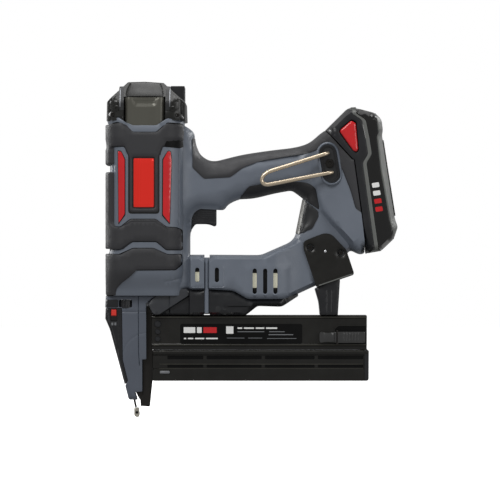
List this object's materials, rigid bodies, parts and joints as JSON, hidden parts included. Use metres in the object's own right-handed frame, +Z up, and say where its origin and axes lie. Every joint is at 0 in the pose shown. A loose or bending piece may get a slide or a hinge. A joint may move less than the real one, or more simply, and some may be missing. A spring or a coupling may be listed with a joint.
{
  "type": "brad nailer",
  "caption": "Cordless gas-spring brad nailer with D handle, rear battery, straight nail magazine, sprung contact tip and side belt hook.",
  "frame": {"origin": "centre of the contact tip's lower face, where the tool meets the work", "axes": "+Z up along the drive axis, +X from the nose to the battery, -Y to the belt hook side"},
  "size_m": [0.2736, 0.0752, 0.3129],
  "materials": {
    "housing_grey": "satin moulded glass-filled nylon, fine grain",
    "nose_grey": "satin moulded plastic, darker grey",
    "black_plastic": "fine grained black plastic",
    "gloss_black": "gloss moulded black plastic",
    "grip_rubber": "soft grip rubber, matte",
    "strip_grey": "matte grey trim",
    "accent_red": "gloss red plastic",
    "badge_red": "brushed red metallic plate",
    "switch_red": "red slide switch",
    "cast_metal": "die-cast light alloy",
    "bright_steel": "ground steel",
    "dark_steel": "blackened hardened steel",
    "hook_steel": "nickel plated wire",
    "black_metal": "satin black coated metal",
    "bumper_urethane": "brown urethane",
    "seal_rubber": "black seal",
    "winding_copper": "enamelled copper windings",
    "cell_wrap": "shrink wrapped cell",
    "board_green": "printed circuit board",
    "label_white": "printed markings without words"
  },
  "bodies": {
    "tool": {"housing_left": "housing_grey", "housing_right": "housing_grey", "arm_undershell": "gloss_black", "head_cap": "gloss_black", "cylinder_cap": "black_metal", "vent_block": "black_plastic", "gas_chamber": "cast_metal", "cylinder_sleeve": "bright_steel", "bumper": "bumper_urethane", "drive_frame": "cast_metal", "nosepiece": "dark_steel", "nose_shroud_left": "nose_grey", "nose_shroud_right": "nose_grey", "nose_cover": "black_plastic", "gearbox": "cast_metal", "motor_stator": "winding_copper", "lifter_bearing_front": "bright_steel", "lifter_bearing_rear": "bright_steel", "trigger_switch": "black_plastic", "control_board": "board_green", "terminal_block": "black_plastic", "hook_wire": "hook_steel", "hook_block": "black_plastic", "hook_screw": "bright_steel", "magazine_body": "black_metal", "magazine_rail": "bright_steel", "magazine_strut": "black_plastic", "bracket_left": "black_metal", "bracket_right": "black_metal", "bracket_screw_front": "bright_steel", "bracket_screw_rear": "bright_steel", "latch_pin": "bright_steel", "contact_spring": "bright_steel", "trigger_spring": "bright_steel"},
    "driver": {"piston": "cast_metal", "piston_seal": "seal_rubber", "driver_blade": "dark_steel"},
    "lifter": {"lifter_wheel": "bright_steel", "lifter_gear": "dark_steel"},
    "pinion": {"drive_pinion": "bright_steel"},
    "rotor": {"motor_rotor": "bright_steel", "motor_fan": "black_plastic"},
    "contact_trip": {"contact_link": "dark_steel", "contact_tip": "bright_steel"},
    "depth_adjuster": {"depth_wheel": "black_plastic"},
    "mode_slide": {"mode_switch": "switch_red"},
    "trigger_lever": {"trigger": "black_plastic"},
    "magazine_slide": {"magazine_cover": "black_metal"},
    "nail_pusher": {"pusher": "cast_metal", "pusher_spring": "bright_steel"},
    "latch_lever": {"magazine_latch": "black_plastic"},
    "battery": {"battery_tray": "gloss_black", "battery_shell": "gloss_black", "battery_cell_1": "cell_wrap", "battery_cell_2": "cell_wrap", "battery_cell_3": "cell_wrap", "battery_cell_4": "cell_wrap", "battery_cell_5": "cell_wrap"},
    "battery_release_left": {"battery_button_left": "accent_red"},
    "battery_release_right": {"battery_button_right": "accent_red"}
  },
  "joints": [
    {"name": "lifter_spin", "type": "hinge", "parent": "tool", "child": "lifter", "pos_m": [0.0082, 0.0167, 0.1295], "axis": [1, 0, 0], "range_deg": [0, 338]},
    {"name": "driver_slide", "type": "slide", "parent": "tool", "child": "driver", "axis": [0, 0, -1], "range_m": [0, 0.083]},
    {"name": "pinion_spin", "type": "hinge", "parent": "tool", "child": "pinion", "pos_m": [0.0282, 0, 0.1295], "axis": [1, 0, 0], "range_deg": [-625, 5]},
    {"name": "rotor_spin", "type": "hinge", "parent": "tool", "child": "rotor", "pos_m": [0.0772, 0, 0.1295], "axis": [1, 0, 0], "range_deg": [-7500, 60]},
    {"name": "contact_slide", "type": "slide", "parent": "tool", "child": "contact_trip", "axis": [0, 0, 1], "range_m": [0, 0.007], "stiffness_N_per_m": 3000, "springref_m": -0.01, "deforming": ["contact_spring"]},
    {"name": "depth_turn", "type": "hinge", "parent": "tool", "child": "depth_adjuster", "pos_m": [-0.0101, -0.0114, 0.106], "axis": [0, 0, 1], "continuous": true},
    {"name": "mode_slide", "type": "slide", "parent": "tool", "child": "mode_slide", "axis": [0, 0, -1], "range_m": [0, 0.004]},
    {"name": "trigger_slide", "type": "slide", "parent": "tool", "child": "trigger_lever", "axis": [0, 0, 1], "range_m": [0, 0.006], "stiffness_N_per_m": 500, "springref_m": -0.004, "deforming": ["trigger_spring"]},
    {"name": "magazine_slide", "type": "slide", "parent": "tool", "child": "magazine_slide", "axis": [1, 0, 0], "range_m": [0, 0.12]},
    {"name": "pusher_slide", "type": "slide", "parent": "magazine_slide", "child": "nail_pusher", "axis": [1, 0, 0], "range_m": [0, 0.155], "stiffness_N_per_m": 8, "springref_m": -0.25},
    {"name": "latch_turn", "type": "hinge", "parent": "tool", "child": "latch_lever", "pos_m": [0.1872, -0.0149, 0.075], "axis": [0, 0, 1], "range_deg": [0, 6], "stiffness_Nm_per_rad": 0.4, "springref_deg": -2.86},
    {"name": "battery_slide", "type": "slide", "parent": "tool", "child": "battery", "axis": [-0.1296, 0, 0.9916], "range_m": [0, 0.15]},
    {"name": "release_left_press", "type": "slide", "parent": "battery", "child": "battery_release_left", "axis": [0, 1, 0], "range_m": [0, 0.003], "stiffness_N_per_m": 800, "springref_m": -0.002},
    {"name": "release_right_press", "type": "slide", "parent": "battery", "child": "battery_release_right", "axis": [0, -1, 0], "range_m": [0, 0.003], "stiffness_N_per_m": 800, "springref_m": -0.002}
  ],
  "couplings": [
    {"joint": "driver_slide", "follows": "lifter_spin", "m_per_rad": 0.0139},
    {"joint": "pinion_spin", "follows": "lifter_spin", "ratio": -1.8333},
    {"joint": "rotor_spin", "follows": "lifter_spin", "ratio": -22}
  ]
}
